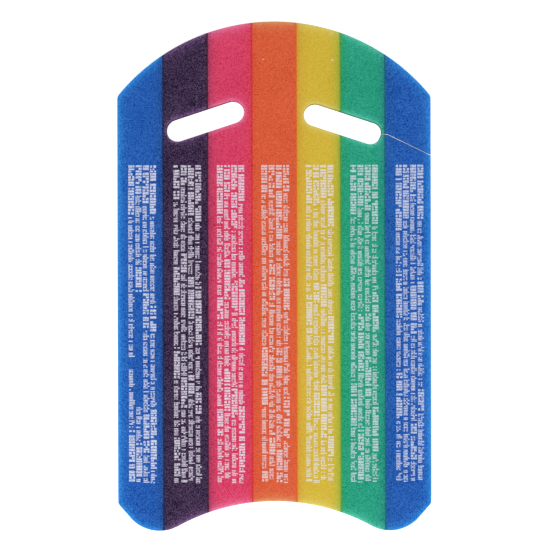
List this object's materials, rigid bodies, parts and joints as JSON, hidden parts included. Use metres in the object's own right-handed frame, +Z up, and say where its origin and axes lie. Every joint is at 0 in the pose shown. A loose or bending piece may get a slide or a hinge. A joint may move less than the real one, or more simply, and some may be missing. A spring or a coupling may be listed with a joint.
{
  "type": "kickboard float",
  "caption": "Foam swim kickboard of bonded lengthwise colour planks, with an arched nose, a notched tail with rounded lobes, and slanted hand slots cut through near the nose.",
  "frame": {"origin": "under the middle of the board, on the rest face: the centre of the bounding box's bottom face", "axes": "+Z up through the thickness to the printed face, +Y along the planks to the arched nose, +X across the planks to the side with the saw cut"},
  "size_m": [0.2956, 0.48, 0.03],
  "materials": {
    "foam_blue": "closed-cell polyethylene foam, fine granular cut face, matt with a faint sheen",
    "foam_purple": "closed-cell polyethylene foam, fine granular cut face, matt with a faint sheen",
    "foam_pink": "closed-cell polyethylene foam, fine granular cut face, matt with a faint sheen",
    "foam_orange": "closed-cell polyethylene foam, fine granular cut face, matt with a faint sheen",
    "foam_yellow": "closed-cell polyethylene foam, fine granular cut face, matt with a faint sheen",
    "foam_green": "closed-cell polyethylene foam, fine granular cut face, matt with a faint sheen",
    "bond_film": "melted foam skin along a bond line, dense and slightly darker than the planks",
    "print_ink": "thin off-white screen print on foam, broken by the grain"
  },
  "bodies": {
    "root": {"blue_left": "foam_blue", "purple": "foam_purple", "pink": "foam_pink", "orange": "foam_orange", "yellow": "foam_yellow", "green_upper": "foam_green", "green_lower": "foam_green", "blue_right_upper": "foam_blue", "blue_right_lower": "foam_blue", "bond_blue_purple": "bond_film", "bond_purple_pink_upper": "bond_film", "bond_purple_pink_lower": "bond_film", "bond_pink_orange": "bond_film", "bond_orange_yellow": "bond_film", "bond_yellow_green_upper": "bond_film", "bond_yellow_green_lower": "bond_film", "bond_green_blue_upper": "bond_film", "bond_green_blue_lower": "bond_film"}
  },
  "joints": []
}
